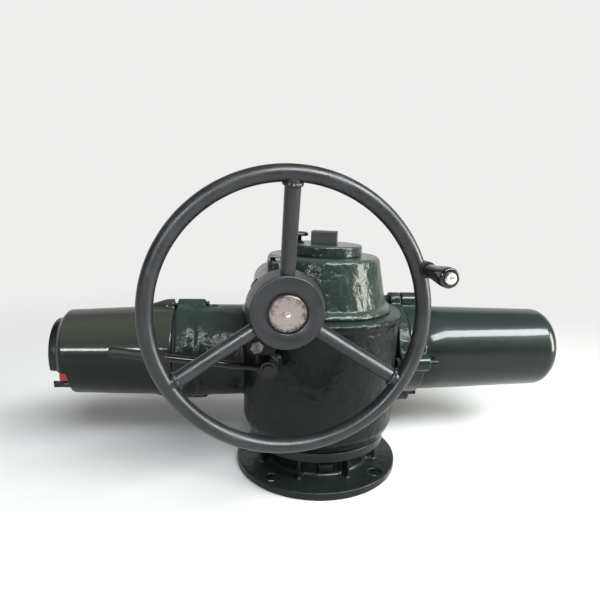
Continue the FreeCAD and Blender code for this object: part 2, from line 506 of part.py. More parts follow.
# Crank on the rim
crank_at = around("crank_circle", "crank_angle", ("-hand_offset", "0", "hand_height"), "xz")
boss = cylinder("crank_boss_blank", "crank_boss_radius", "crank_boss_front-wheel_plane+4",
                (crank_at[0], "-crank_boss_front", crank_at[2]), "y")
boss_bore = cylinder("crank_boss_bore", "crank_spindle_radius+fit_gap", "4",
                     (crank_at[0], "-crank_boss_front-1", crank_at[2]), "y")
node(cut("crank_boss", boss, rim, boss_bore))
spindle = cylinder("crank_spindle_rod", "crank_spindle_radius", "crank_length+2.9",
                   (crank_at[0], "-crank_boss_front-crank_length", crank_at[2]), "y")
spindle_head = cylinder("crank_spindle_head", "crank_grip_radius-2.4", "5",
                        (crank_at[0], "-crank_boss_front-crank_length-5", crank_at[2]), "y")
spindle_socket = prism("crank_socket", 3, 3, (crank_at[0], "-crank_boss_front-crank_length-6", crank_at[2]), "y")
node(cut("crank_spindle", fuse("crank_spindle_solid", spindle, spindle_head), spindle_socket))
node(turned("crank_grip", [
    ("crank_spindle_radius+running_gap*2", "face_gap*3"), ("crank_neck_radius", "face_gap*3"),
    ("crank_neck_radius+0.6", "crank_length*0.35"), ("crank_grip_radius", "crank_length*0.8"),
    ("crank_grip_radius", "crank_length-2.5"), ("crank_grip_radius-2", "crank_length-face_gap*3"),
    ("crank_spindle_radius+running_gap*2", "crank_length-face_gap*3")],
    (crank_at[0], "-crank_boss_front", crank_at[2]), "-y"))

# Declutch lever outside, yoke inside
lever_face = "-lever_boss_front-face_gap*3"
lever_shaft = cylinder("lever_shaft_rod", "lever_shaft_radius", "lever_boss_front+lever_hub_width+3+28",
                       ("-lever_offset", "-lever_boss_front-lever_hub_width-3", "lever_height"), "y")
node(lever_shaft, "lever_shaft")
lever_hub = ring("lever_hub_ring", "lever_shaft_radius+fit_gap", "lever_hub_radius", "lever_hub_width",
                 ("-lever_offset", lever_face, "lever_height"), "-y")
node(lever_hub, "lever_hub")
lean = FreeCAD.Rotation(vector(0, 1, 0), -90 + size("lever_tilt"))


def on_lever(reach):
    return ("-lever_offset-(%s)*cos(lever_tilt)" % reach, "-lever_boss_front-lever_hub_width/2-face_gap*3",
            "lever_height+(%s)*sin(lever_tilt)" % reach)


rod = cylinder("lever_rod_blank", "lever_rod_radius", "lever_length-3-lever_hub_radius+3",
               on_lever("lever_hub_radius-3"), lean)
node(cut("lever_rod", rod, lever_hub))
grip = cylinder("lever_grip_blank", "lever_grip_radius", "lever_grip_length",
                on_lever("lever_length-lever_grip_length"), lean)
node(cut("lever_grip", grip, rod))
yoke_hub = cylinder("yoke_hub", "lever_shaft_radius+3", "56", ("-lever_offset", "-28", "lever_height"), "y")
yoke_bar = box("yoke_bar", "10", "93", "8", ("-lever_offset+7", "-46.5", "lever_height-4"))
yoke_arms = [box("yoke_arm_%d" % k, "lever_offset-7+6", "5", "8", ("-lever_offset+7", start, "lever_height-4"))
             for k, start in enumerate(("-46.5", "41.5"))]
yoke_tabs = [box("yoke_tab_%d" % k, "12", "5", "20", ("-6", start, "lever_height-4"))
             for k, start in enumerate(("-46.5", "41.5"))]
yoke_pins = [cylinder("yoke_pin_%d" % k, "4", "8", ("0", start, "clutch_groove_height+clutch_groove/2"), "y")
             for k, start in enumerate(("-43", "35"))]
yoke_bore = cylinder("yoke_bore", "lever_shaft_radius+fit_gap", "60", ("-lever_offset", "-30", "lever_height"), "y")
node(cut("shift_yoke", fuse("yoke_solid", yoke_hub, yoke_bar, *yoke_arms, *yoke_tabs, *yoke_pins), yoke_bore))
hex_bolts("lever_stop_bolt", [("-stop_offset", "-stop_boss_front", "stop_height")],
          "stop_head_radius", "stop_head_height", "stop_bolt_radius", "18", "-y")

# Electrical cover, bezel, selectors and what the cover protects
cover = turned("electrical_shell", [
    ("cover_low_radius-cover_wall", "0"), ("cover_low_radius", "0"),
    ("cover_end_radius", "cover_end-cover_flange-3"), ("cover_end_radius-3", "cover_end-cover_flange"),
    ("0", "cover_end-cover_flange"), ("0", "cover_end-cover_flange-cover_wall"),
    ("cover_end_radius-cover_wall-1", "cover_end-cover_flange-cover_wall")],
    ("-cover_flange", "arm_offset", "arm_height"), "-x")
left_cover_lugs = [cylinder("cover_lug_%d" % k, "lug_radius", "20",
                            around("lug_circle", angle, ("-cover_flange", "arm_offset", "arm_height"), "yz"), "-x")
                   for k, angle in enumerate((90, 270, 0))]
left_cover_bores = [cylinder("cover_lug_bore_%d" % k, "lug_bolt_radius+fit_gap", "14",
                             around("lug_circle", angle, ("-cover_flange+1", "arm_offset", "arm_height"), "yz"), "-x")
                    for k, angle in enumerate((90, 270, 0))]
knob_bores = [cylinder("knob_bore_%s" % label, "knob_shaft_radius+running_gap", "cover_wall+4",
                       ("-cover_end-2", "arm_offset%s" % shift, "arm_height-knob_drop"), "x")
              for label, shift in (("red", "+red_knob_offset"), ("black", "-black_knob_offset"))]
node(cut("electrical_cover", fuse("electrical_outer", cover, *left_cover_lugs),
         group("cover_bores", *left_cover_bores), group("knob_bores", *knob_bores)))
node(ring("cover_gasket", "arm_inner_radius+2", "lug_circle-lug_bolt_radius-1", "gasket_thick",
          ("-cover_flange", "arm_offset", "arm_height"), "x"))
bezel = turned("bezel_blank", [
    ("0", "0"), ("cover_end_radius-3", "0"), ("cover_end_radius-0.5", "3"), ("cover_end_radius-8", "bezel_thick-4"),
    ("bezel_face_radius", "bezel_thick"), ("0", "bezel_thick")],
    ("-cover_end", "arm_offset", "arm_height"), "-x")
bezel_cut = box("bezel_cut_box", "bezel_thick+4", "140", "60",
                ("-cover_end-bezel_thick-2", "arm_offset-70", "arm_height-bezel_cut-60"))
node(cut("end_bezel", bezel, bezel_cut))
for label, shift in (("red", "+red_knob_offset"), ("black", "-black_knob_offset")):
    centre = ("-cover_end-face_gap*3", "arm_offset%s" % shift, "arm_height-knob_drop")
    dial = cylinder(label + "_dial", "knob_radius", "knob_length*0.45", centre, "-x")
    bar = box(label + "_bar", "knob_length*0.55+1", "knob_radius*0.6", "knob_radius*2",
              ("-cover_end-face_gap*3-knob_length", "arm_offset%s-knob_radius*0.3" % shift,
               "arm_height-knob_drop-knob_radius"))
    stem = cylinder(label + "_stem", "knob_shaft_radius", "cover_wall+3",
                    ("-cover_end-1", "arm_offset%s" % shift, "arm_height-knob_drop"), "x")
    node(fuse(label + "_selector", dial, bar, stem))
hex_bolts("cover_bolts", [
    around("lug_circle", angle, ("-arm_end+22", "arm_offset", "arm_height"), "yz")
    for angle in (90, 270, 0)], "lug_bolt_radius+2.8", "4", "lug_bolt_radius", "cover_flange-arm_end+22+10", "x")
node(cylinder("chassis_plate", "arm_inner_radius-fit_gap", "4", ("-arm_bulkhead-4", "arm_offset", "arm_height"), "x"))
node(box("limit_switch_unit", "44", "60", "56", ("-arm_bulkhead-4-44", "arm_offset-30", "arm_height-28")))
node(box("control_board", "2", "84", "60", ("-arm_bulkhead-4-44-2", "arm_offset-42", "arm_height-30")))

doc.recompute()
faults = [item.Name for item in doc.Objects if "Invalid" in item.State or "Error" in item.State]
if faults:
    raise SystemExit("these objects failed: " + ", ".join(faults))
os.makedirs("parts", exist_ok=True)
for item in nodes:
    if item.Shape.isNull() or not item.Shape.isValid():
        raise SystemExit("this sub-part's shape isn't valid: " + item.Label)
    item.Shape.exportStep("parts/%s.step" % item.Label)
print(len(nodes), "sub-parts")
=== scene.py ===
import math

import bmesh
import bpy
from mathutils import Matrix, Vector, noise


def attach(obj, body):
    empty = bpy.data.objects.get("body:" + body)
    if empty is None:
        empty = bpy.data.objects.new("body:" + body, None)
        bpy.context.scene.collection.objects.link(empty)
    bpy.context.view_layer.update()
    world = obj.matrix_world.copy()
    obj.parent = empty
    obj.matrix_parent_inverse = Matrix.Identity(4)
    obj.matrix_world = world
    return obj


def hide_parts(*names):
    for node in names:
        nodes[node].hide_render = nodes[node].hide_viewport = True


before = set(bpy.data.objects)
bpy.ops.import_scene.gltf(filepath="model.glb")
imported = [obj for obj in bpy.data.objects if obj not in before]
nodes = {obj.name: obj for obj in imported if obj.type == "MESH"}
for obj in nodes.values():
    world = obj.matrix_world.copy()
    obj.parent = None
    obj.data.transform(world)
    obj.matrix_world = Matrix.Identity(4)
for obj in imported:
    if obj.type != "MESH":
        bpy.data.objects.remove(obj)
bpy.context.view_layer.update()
mm = 0.001
print("frame loaded:", len(nodes), "nodes")

# Camera, fitted to the flange, the holes, the top disks and the wheel
cameraLook = {
    "place": (-0.1152, -0.6294, 0.3598),
    "yaw": -0.169, "down": 0.247, "roll": 0.040,
    "focal": 484.0, "centre": (315.3, 323.6), "frame": 600.0, "sensor": 36, "near": 0.02,
}


def setCamera(look):
    side = Vector((math.cos(look["yaw"]), math.sin(look["yaw"]), 0))
    ahead = Vector((-math.sin(look["yaw"]) * math.cos(look["down"]),
                    math.cos(look["yaw"]) * math.cos(look["down"]), -math.sin(look["down"])))
    above = side.cross(ahead)
    right = side * math.cos(look["roll"]) + above * math.sin(look["roll"])
    up = above * math.cos(look["roll"]) - side * math.sin(look["roll"])
    data = bpy.data.cameras.new("photoCamera")
    data.sensor_width = look["sensor"]
    data.lens = look["focal"] * data.sensor_width / look["frame"]
    data.shift_x = (look["frame"] / 2 - look["centre"][0]) / look["frame"]
    data.shift_y = (look["centre"][1] - look["frame"] / 2) / look["frame"]
    data.clip_start = look["near"]
    camera = bpy.data.objects.new("photoCamera", data)
    turn = Matrix((right, up, -ahead)).transposed().to_4x4()
    camera.matrix_world = Matrix.Translation(look["place"]) @ turn
    bpy.context.scene.collection.objects.link(camera)
    bpy.context.scene.camera = camera


setCamera(cameraLook)
print("camera set")

# Pale paper floor and sweep, a soft ceiling, and two windows and a door that draw the long
# reflections in the enamel
stageLook = {
    "floorColour": "#c6c6c4", "near": -9.0, "bend": 6.0, "bendRadius": 2.5, "high": 9.0, "wide": 36.0,
    "sink": 0.0005, "bendSteps": 24,
    "paleColour": "#eeeeed", "paleFrom": 0.3, "paleTo": 1.5,
    "roomColour": "#e4e8ee", "roomStrength": 0.11,
    "ceilingStrength": 0.3, "ceilingWide": 70, "ceilingUp": 70, "ceilingTurn": -15, "ceilingAway": 3.0,
    "ceilingColour": "#fff6ea",
}
lampLooks = {
    "windowAbove": {"turn": 30, "up": 45, "away": 3.4, "size": (3.6, 0.9), "power": 300,
                    "colour": "#f6fbff"},
    "windowLow": {"turn": -27, "up": 17, "away": 3.2, "size": (0.9, 0.26), "power": 44,
                  "colour": "#f4f9ff"},
    "doorRight": {"turn": 70, "up": 13, "away": 2.6, "size": (0.8, 1.5), "power": 84,
                  "colour": "#fbfdee"},
}
lampAim = (0, 0, 0.15)


def linearColour(hexText):
    parts = [int(hexText[k:k + 2], 16) / 255 for k in (1, 3, 5)]
    return [p / 12.92 if p <= 0.04045 else ((p + 0.055) / 1.055) ** 2.4 for p in parts] + [1.0]


def addNode(tree, kind, settings=None, links=None):
    made = tree.nodes.new(kind)
    for key, value in (settings or {}).items():
        if isinstance(key, int) or key in made.inputs:
            made.inputs[key].default_value = value
        else:
            setattr(made, key, value)
    for socket, source in (links or {}).items():
        tree.links.new(source, made.inputs[socket])
    return made


# a mix node's two colour inputs and its colour output, by number because their names repeat
mixFirst, mixSecond, mixColour = 6, 7, 2


def newMaterial(name):
    made = bpy.data.materials.new(name)
    made.use_nodes = True
    made.node_tree.nodes.clear()
    return made, made.node_tree


def closeMaterial(tree, shader):
    addNode(tree, "ShaderNodeOutputMaterial", links={"Surface": shader.outputs[0]})


# Matt paper: lit and shadowed round the object, and its own pale colour further back
def paintedStage(name, look):
    made, tree = newMaterial(name)
    paper = addNode(tree, "ShaderNodeBsdfPrincipled", {
        "Base Color": linearColour(look["floorColour"]), "Roughness": 0.9, "Specular IOR Level": 0.1})
    pale = addNode(tree, "ShaderNodeEmission",
                   {"Color": linearColour(look["paleColour"]), "Strength": 1.0})
    path = addNode(tree, "ShaderNodeLightPath")
    seen = addNode(tree, "ShaderNodeMath", {"operation": "ADD"},
                   {0: path.outputs["Is Camera Ray"], 1: path.outputs["Is Glossy Ray"]})
    shown = addNode(tree, "ShaderNodeMath", {"operation": "ADD", "use_clamp": True},
                    {0: seen.outputs[0], 1: path.outputs["Is Transmission Ray"]})
    place = addNode(tree, "ShaderNodeTexCoord").outputs["Object"]
    level = addNode(tree, "ShaderNodeVectorMath", {"operation": "LENGTH"}, {0: place})
    far = addNode(tree, "ShaderNodeMapRange",
                  {"interpolation_type": "SMOOTHSTEP", "From Min": look["paleFrom"],
                   "From Max": look["paleTo"]},
                  {"Value": level.outputs["Value"]})
    share = addNode(tree, "ShaderNodeMath", {"operation": "MULTIPLY"},
                    {0: shown.outputs[0], 1: far.outputs["Result"]})
    mixed = addNode(tree, "ShaderNodeMixShader", {},
                    {0: share.outputs[0], 1: paper.outputs[0], 2: pale.outputs[0]})
    closeMaterial(tree, mixed)
    return made


def setStage(look):
    mesh = bmesh.new()
    line = [mesh.verts.new((0, look["near"], -look["sink"])),
            mesh.verts.new((0, look["bend"], -look["sink"]))]
    mesh.edges.new(line)
    bmesh.ops.spin(mesh, geom=[line[1]], cent=(0, look["bend"], look["bendRadius"] - look["sink"]),
                   axis=(1, 0, 0), angle=math.radians(90), steps=look["bendSteps"])
    top = max(mesh.verts, key=lambda v: v.co.z)
    bmesh.ops.extrude_vert_indiv(mesh, verts=[top])
    mesh.verts.ensure_lookup_table()
    mesh.verts[-1].co.z = look["high"]
    bmesh.ops.translate(mesh, vec=(-look["wide"] / 2, 0, 0), verts=mesh.verts)
    side = bmesh.ops.extrude_edge_only(mesh, edges=mesh.edges)["geom"]
    bmesh.ops.translate(mesh, vec=(look["wide"], 0, 0),
                        verts=[v for v in side if isinstance(v, bmesh.types.BMVert)])
    bmesh.ops.recalc_face_normals(mesh, faces=mesh.faces)
    data = bpy.data.meshes.new("paperSweep")
    mesh.to_mesh(data)
    mesh.free()
    for polygon in data.polygons:
        polygon.use_smooth = True
    data.materials.append(paintedStage("studioPaper", look))
    sweep = bpy.data.objects.new("paperSweep", data)
    bpy.context.scene.collection.objects.link(sweep)
    world = bpy.data.worlds.new("studioRoom")
    world.use_nodes = True
    world.node_tree.nodes.clear()
    room = addNode(world.node_tree, "ShaderNodeBackground", {
        "Color": linearColour(look["roomColour"]), "Strength": look["roomStrength"]})
    addNode(world.node_tree, "ShaderNodeOutputWorld", links={"Surface": room.outputs[0]})
    bpy.context.scene.world = world
    ceiling = bpy.data.lights.new("ceilingSoft", "SUN")
    ceiling.energy = look["ceilingStrength"]
    ceiling.angle = math.radians(look["ceilingWide"])
    ceiling.color = linearColour(look["ceilingColour"])[:3]
    hangLamp(ceiling, look["ceilingTurn"], look["ceilingUp"], look["ceilingAway"])
    bpy.context.scene.view_settings.view_transform = "Standard"


def hangLamp(lamp, turn, up, away):
    turn, up = math.radians(turn), math.radians(up)
    place = Vector((math.sin(turn) * math.cos(up), -math.cos(turn) * math.cos(up), math.sin(up))) * away
    target = Vector(lampAim)
    holder = bpy.data.objects.new(lamp.name, lamp)
    aim = (-place).to_track_quat("-Z", "Y").to_matrix().to_4x4()
    holder.matrix_world = Matrix.Translation(target + place) @ aim
    bpy.context.scene.collection.objects.link(holder)


def setLamps():
    for name, look in lampLooks.items():
        lamp = bpy.data.lights.new(name, "AREA")
        lamp.shape = "RECTANGLE"
        lamp.size, lamp.size_y = look["size"]
        lamp.energy = look["power"]
        lamp.color = linearColour(look["colour"])[:3]
        hangLamp(lamp, look["turn"], look["up"], look["away"])


setStage(stageLook)
setLamps()
print("stage and lamps set")


# Alkyd enamel sprayed over sand-cast iron: glossy, with the sand's grain and slow waves under it, and a
# painted sheen: a paler colour on the faces that look up, standing in for the ceiling's reflection
enamelLooks = {
    "caseEnamel": {"colour": "#0a110f", "dark": "#050807", "paintedSheen": "#242d29", "grain": 4.2,
                   "grainDeep": 0.75, "wave": 15, "waveDeep": 1.8, "rough": 0.3, "dull": 0.44,
                   "level": 0.07, "coat": 0.27},
    "housingEnamel": {"colour": "#141f1a", "dark": "#0b1310", "paintedSheen": "#2f3a34", "grain": 5.0,
                      "grainDeep": 0.75, "wave": 13, "waveDeep": 1.8, "rough": 0.3, "dull": 0.46,
                      "level": 0.16, "coat": 0.38},
    "baseEnamel": {"colour": "#0b1110", "dark": "#060908", "paintedSheen": "#141b19", "grain": 4.0,
                   "grainDeep": 0.4, "wave": 20, "waveDeep": 0.8, "rough": 0.34, "dull": 0.55,
                   "level": 0.12, "coat": 0.28},
    "coverEnamel": {"colour": "#0c100d", "dark": "#070907", "paintedSheen": "#2e312a", "grain": 1.8,
                    "grainDeep": 0.03, "wave": 45, "waveDeep": 0.5, "rough": 0.28, "dull": 0.4,
                    "level": 0.07, "coat": 0.34},
    "motorEnamel": {"colour": "#0e1614", "dark": "#090f0d", "paintedSheen": "#1d2624", "grain": 1.4,
                    "grainDeep": 0.02, "wave": 50, "waveDeep": 0.4, "rough": 0.30, "dull": 0.38,
                    "level": 0.14, "coat": 0.44},
}
# the gloss is below a new coat's: the photographed room was darker than this studio's pale floor
enamelCoatRough = 0.07
enamelSizes = {"cloud": 60, "speckle": 5, "smudge": 14}


def enamel(name, look):
    made, tree = newMaterial(name)
    place = addNode(tree, "ShaderNodeTexCoord").outputs["Object"]
    cloud = addNode(tree, "ShaderNodeTexNoise", {"Scale": 1 / (enamelSizes["cloud"] * mm), "Detail": 4.0,
                                                 "Roughness": 0.6}, {"Vector": place})
    paint = addNode(tree, "ShaderNodeMix", {"data_type": "RGBA", mixFirst: linearColour(look["dark"]),
                                            mixSecond: linearColour(look["colour"])},
                    {0: cloud.outputs["Fac"]})
    # painted sheen: faces that look up take the paler colour, standing in for the ceiling's reflection,
    # broken into patches by a fine speckle
    facing = addNode(tree, "ShaderNodeSeparateXYZ", {},
                     {0: addNode(tree, "ShaderNodeNewGeometry").outputs["Normal"]})
    speckle = addNode(tree, "ShaderNodeTexNoise", {"Scale": 1 / (enamelSizes["speckle"] * mm),
                                                   "Detail": 5.0, "Roughness": 0.7}, {"Vector": place})
    patchy = addNode(tree, "ShaderNodeMath", {"operation": "MULTIPLY_ADD", 1: 0.35},
                     {0: speckle.outputs["Fac"],
                      2: facing.outputs["Z"]})
    sheenShare = addNode(tree, "ShaderNodeMapRange", {"From Min": 0.15, "From Max": 1.0},
                    {"Value": patchy.outputs[0]})
    colour = addNode(tree, "ShaderNodeMix", {"data_type": "RGBA", mixSecond: linearColour(look["paintedSheen"])},
                     {0: sheenShare.outputs["Result"], mixFirst: paint.outputs[mixColour]})
    smudge = addNode(tree, "ShaderNodeTexNoise", {"Scale": 1 / (enamelSizes["smudge"] * mm),
                                                  "Detail": 6.0, "Roughness": 0.65}, {"Vector": place})
    rough = addNode(tree, "ShaderNodeMapRange",
                    {"From Min": 0.4, "From Max": 0.75, "To Min": look["rough"],
                     "To Max": look["dull"]},
                    {"Value": smudge.outputs["Fac"]})
    wave = addNode(tree, "ShaderNodeTexNoise", {"Scale": 1 / (look["wave"] * mm), "Detail": 1.0},
                   {"Vector": place})
    grain = addNode(tree, "ShaderNodeTexNoise",
                    {"Scale": 1 / (look["grain"] * mm), "Detail": 3.0, "Roughness": 0.55},
                    {"Vector": place})
    slow = addNode(tree, "ShaderNodeBump", {"Strength": 1.0, "Distance": look["waveDeep"] * mm},
                   {"Height": wave.outputs["Fac"]})
    fine = addNode(tree, "ShaderNodeBump", {"Strength": 1.0, "Distance": look["grainDeep"] * mm},
                   {"Height": grain.outputs["Fac"], "Normal": slow.outputs["Normal"]})
    closeMaterial(tree, addNode(tree, "ShaderNodeBsdfPrincipled", {
        "IOR": 1.5, "Specular IOR Level": look["level"], "Coat Weight": look["coat"],
        "Coat Roughness": enamelCoatRough},
        {"Base Color": colour.outputs[mixColour], "Roughness": rough.outputs["Result"],
         "Normal": fine.outputs["Normal"], "Coat Normal": fine.outputs["Normal"]}))
    return made


# Paints, rubbers and plastics: one colour, a fine skin and a little handling wear
plainLooks = {
    # satin powder coat
    "wheelPaint": {"colour": "#151618", "worn": "#1f2022", "rough": 0.33, "grain": 1.4, "deep": 0.04,
                   "ior": 1.5},
    # black gloss, brushed on
    "leverPaint": {"colour": "#070707", "worn": "#0f0f0e", "rough": 0.14, "grain": 2.2, "deep": 0.05,
                   "ior": 1.38},
    "ventPaint": {"colour": "#0c0d0d", "worn": "#161717", "rough": 0.35, "grain": 1.6, "deep": 0.05,
                  "ior": 1.5},
    # dipped rubber sleeve
    "gripRubber": {"colour": "#0a0a0a", "worn": "#141314", "rough": 0.5, "grain": 0.9, "deep": 0.04,
                   "ior": 1.4},
    # moulded phenolic, polished
    "crankPhenolic": {"colour": "#0d0d0f", "worn": "#19191b", "rough": 0.12, "grain": 3.0, "deep": 0.02,
                      "ior": 1.6},
    # moulded black plastic
    "bezelAbs": {"colour": "#080b0d", "worn": "#101417", "rough": 0.25, "grain": 2.0, "deep": 0.02,
                 "ior": 1.42},
    # moulded red plastic
    "knobRed": {"colour": "#b3202c", "worn": "#c63b42", "rough": 0.28, "grain": 2.0, "deep": 0.02,
                "ior": 1.5},
    "sealRubber": {"colour": "#121212", "worn": "#1e1e1e", "rough": 0.7, "grain": 1.0, "deep": 0.03,
                   "ior": 1.52},
    # solder mask
    "boardMask": {"colour": "#0f4a26", "worn": "#185c33", "rough": 0.3, "grain": 2.0, "deep": 0.02,
                  "ior": 1.5},
    "switchGrey": {"colour": "#55585a", "worn": "#626567", "rough": 0.5, "grain": 1.5, "deep": 0.03,
                   "ior": 1.5},
    # blackened steel
    "plugPaint": {"colour": "#131517", "worn": "#212325", "rough": 0.45, "grain": 1.6, "deep": 0.08,
                  "ior": 1.5},
}
handledSize = 22


def plainSkin(name, look):
    made, tree = newMaterial(name)
    place = addNode(tree, "ShaderNodeTexCoord").outputs["Object"]
    cloud = addNode(tree, "ShaderNodeTexNoise", {"Scale": 1 / (handledSize * mm), "Detail": 6.0,
                                                 "Roughness": 0.62}, {"Vector": place})
    share = addNode(tree, "ShaderNodeMapRange", {"From Min": 0.42, "From Max": 0.72},
                    {"Value": cloud.outputs["Fac"]})
    colour = addNode(tree, "ShaderNodeMix", {"data_type": "RGBA", mixFirst: linearColour(look["colour"]),
                                             mixSecond: linearColour(look["worn"])},
                     {0: share.outputs["Result"]})
    rough = addNode(tree, "ShaderNodeMapRange", {"To Min": look["rough"], "To Max": look["rough"] + 0.12},
                    {"Value": share.outputs["Result"]})
    grain = addNode(tree, "ShaderNodeTexNoise", {"Scale": 1 / (look["grain"] * mm), "Detail": 3.0},
                    {"Vector": place})
    skin = addNode(tree, "ShaderNodeBump", {"Strength": 1.0, "Distance": look["deep"] * mm},
                   {"Height": grain.outputs["Fac"]})
    closeMaterial(tree, addNode(tree, "ShaderNodeBsdfPrincipled", {"IOR": look["ior"]},
                                {"Base Color": colour.outputs[mixColour],
                                 "Roughness": rough.outputs["Result"], "Normal": skin.outputs["Normal"]}))
    return made


# Bare metals: turned or plated, with stains where oil and fingers have been
metalLooks = {
    "turnedSteel": {"colour": "#b5aba6", "stain": "#6d625e", "rough": 0.34, "stainSize": 7,
                    "stained": 0.55},
    "boltSteel": {"colour": "#8b8580", "stain": "#554d48", "rough": 0.45, "stainSize": 4, "stained": 0.5},
    "zincPlate": {"colour": "#e2dfd6", "stain": "#b8b3a6", "rough": 0.3, "stainSize": 5, "stained": 0.6},
    "bearingSteel": {"colour": "#c6c6c8", "stain": "#9a9a9c", "rough": 0.2, "stainSize": 12,
                     "stained": 0.6},
    "gearBronze": {"colour": "#b78b4a", "stain": "#7c5a2c", "rough": 0.32, "stainSize": 8,
                   "stained": 0.55},
    "laminatedIron": {"colour": "#6b6b70", "stain": "#47474b", "rough": 0.42, "stainSize": 6,
                      "stained": 0.5},
}
toolMarks = {"size": 0.8, "deep": 0.02}


def bareMetal(name, look):
    made, tree = newMaterial(name)
    place = addNode(tree, "ShaderNodeTexCoord").outputs["Object"]
    cloud = addNode(tree, "ShaderNodeTexNoise",
                    {"Scale": 1 / (look["stainSize"] * mm), "Detail": 7.0, "Roughness": 0.68},
                    {"Vector": place})
    share = addNode(tree, "ShaderNodeMapRange",
                    {"From Min": look["stained"] - 0.12, "From Max": look["stained"] + 0.16},
                    {"Value": cloud.outputs["Fac"]})
    colour = addNode(tree, "ShaderNodeMix", {"data_type": "RGBA", mixFirst: linearColour(look["colour"]),
                                             mixSecond: linearColour(look["stain"])},
                     {0: share.outputs["Result"]})
    rough = addNode(tree, "ShaderNodeMapRange", {"To Min": look["rough"], "To Max": look["rough"] + 0.2},
                    {"Value": share.outputs["Result"]})
    grain = addNode(tree, "ShaderNodeTexNoise", {"Scale": 1 / (toolMarks["size"] * mm), "Detail": 2.0},
                    {"Vector": place})
    skin = addNode(tree, "ShaderNodeBump", {"Strength": 1.0, "Distance": toolMarks["deep"] * mm},
                   {"Height": grain.outputs["Fac"]})
    closeMaterial(tree, addNode(tree, "ShaderNodeBsdfPrincipled", {"Metallic": 1.0},
                                {"Base Color": colour.outputs[mixColour],
                                 "Roughness": rough.outputs["Result"], "Normal": skin.outputs["Normal"]}))
    return made


finishes = {}
for name, look in enamelLooks.items():
    finishes[name] = enamel(name, look)
for name, look in plainLooks.items():
    finishes[name] = plainSkin(name, look)
for name, look in metalLooks.items():
    finishes[name] = bareMetal(name, look)
print("finishes made:", len(finishes))

# The shaft's end as the lathe left it: fine rings about its axis, finger stains, and a darker bloom
# near the rim
facedLook = {"axis": (-63.5, 250), "ringApart": 0.42, "colour": "#b8aeaa", "groove": "#a0958f",
             "stain": "#3b302c", "stainSize": 6, "rough": 0.3, "bloomFrom": 10, "bloomTo": 17,
             "ringDeep": 0.008}


def facedSteel(look):
    made, tree = newMaterial("facedSteel")
    place = addNode(tree, "ShaderNodeTexCoord").outputs["Object"]
    centred = addNode(tree, "ShaderNodeMapping",
                      {"Location": (-look["axis"][0] * mm, 0, -look["axis"][1] * mm)}, {"Vector": place})
    flat = addNode(tree, "ShaderNodeVectorMath", {"operation": "MULTIPLY", 1: (1, 0, 1)},
                   {0: centred.outputs["Vector"]})
    reach = addNode(tree, "ShaderNodeVectorMath", {"operation": "LENGTH"}, {0: flat.outputs["Vector"]})
    rings = addNode(tree, "ShaderNodeTexWave", {"wave_type": "RINGS", "rings_direction": "Y",
                                                "Scale": 1 / (look["ringApart"] * 20 * mm),
                                                "Distortion": 0.8, "Detail": 3.0},
                    {"Vector": centred.outputs["Vector"]})
    cloud = addNode(tree, "ShaderNodeTexNoise",
                    {"Scale": 1 / (look["stainSize"] * mm), "Detail": 8.0, "Roughness": 0.7},
                    {"Vector": place})
    bloom = addNode(tree, "ShaderNodeMapRange",
                    {"From Min": look["bloomFrom"] * mm, "From Max": look["bloomTo"] * mm,
                     "To Min": -0.05, "To Max": 0.16},
                    {"Value": reach.outputs["Value"]})
    stains = addNode(tree, "ShaderNodeMath", {"operation": "ADD"},
                     {0: cloud.outputs["Fac"], 1: bloom.outputs["Result"]})
    share = addNode(tree, "ShaderNodeMapRange", {"From Min": 0.52, "From Max": 0.76},
                    {"Value": stains.outputs[0]})
    cuts = addNode(tree, "ShaderNodeMix", {"data_type": "RGBA", mixFirst: linearColour(look["colour"]),
                                           mixSecond: linearColour(look["groove"])},
                   {0: rings.outputs["Fac"]})
    colour = addNode(tree, "ShaderNodeMix", {"data_type": "RGBA", mixSecond: linearColour(look["stain"])},
                     {0: share.outputs["Result"], mixFirst: cuts.outputs[mixColour]})
    rough = addNode(tree, "ShaderNodeMapRange", {"To Min": look["rough"], "To Max": look["rough"] + 0.25},
                    {"Value": share.outputs["Result"]})
    skin = addNode(tree, "ShaderNodeBump", {"Strength": 1.0, "Distance": look["ringDeep"] * mm},
                   {"Height": rings.outputs["Fac"]})
    closeMaterial(tree, addNode(tree, "ShaderNodeBsdfPrincipled", {"Metallic": 1.0},
                                {"Base Color": colour.outputs[mixColour],
                                 "Roughness": rough.outputs["Result"], "Normal": skin.outputs["Normal"]}))
    return made


finishes["facedSteel"] = facedSteel(facedLook)

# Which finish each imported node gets
nodeFinishes = {
    "caseEnamel": ["gear_case", "hand_bearing_cap", "cover_bolts", "motor_bolts"],
    "housingEnamel": ["top_housing", "cap_disk"],
    "baseEnamel": ["thrust_base"],
    "coverEnamel": ["electrical_cover"],
    "motorEnamel": ["motor_cover", "motor_shield"],
    "wheelPaint": ["handwheel_rim", "handwheel_spokes", "handwheel_hub", "crank_boss"],
    "leverPaint": ["lever_rod", "lever_hub", "lever_shaft"],
    "facedSteel": ["handwheel_shaft"],
    "turnedSteel": ["drive_sleeve", "worm_shaft", "clutch_ring", "shift_yoke", "motor_coupling",
                    "gear_spacer", "motor_end_bracket"],
    "gearBronze": ["worm_wheel", "hand_gear", "drive_bush"],
    "bearingSteel": ["thrust_bearing", "top_bearing", "worm_bearing_left", "worm_bearing_right",
                     "hand_front_bearing", "hand_rear_bearing", "motor_front_bearing",
                     "motor_rear_bearing"],
    "boltSteel": ["lever_stop_bolt"],
    "zincPlate": ["crank_spindle", "chassis_plate"],
    "gripRubber": ["lever_grip"],
    "sealRubber": ["lower_seal", "cover_gasket"],
    "crankPhenolic": ["crank_grip"],
    "bezelAbs": ["end_bezel", "black_selector"],
    "knobRed": ["red_selector"],
    "boardMask": ["control_board"],
    "switchGrey": ["limit_switch_unit"],
    "laminatedIron": ["stator", "motor_rotor"],
    "plugPaint": ["stem_plug"],
}
dressed = set()
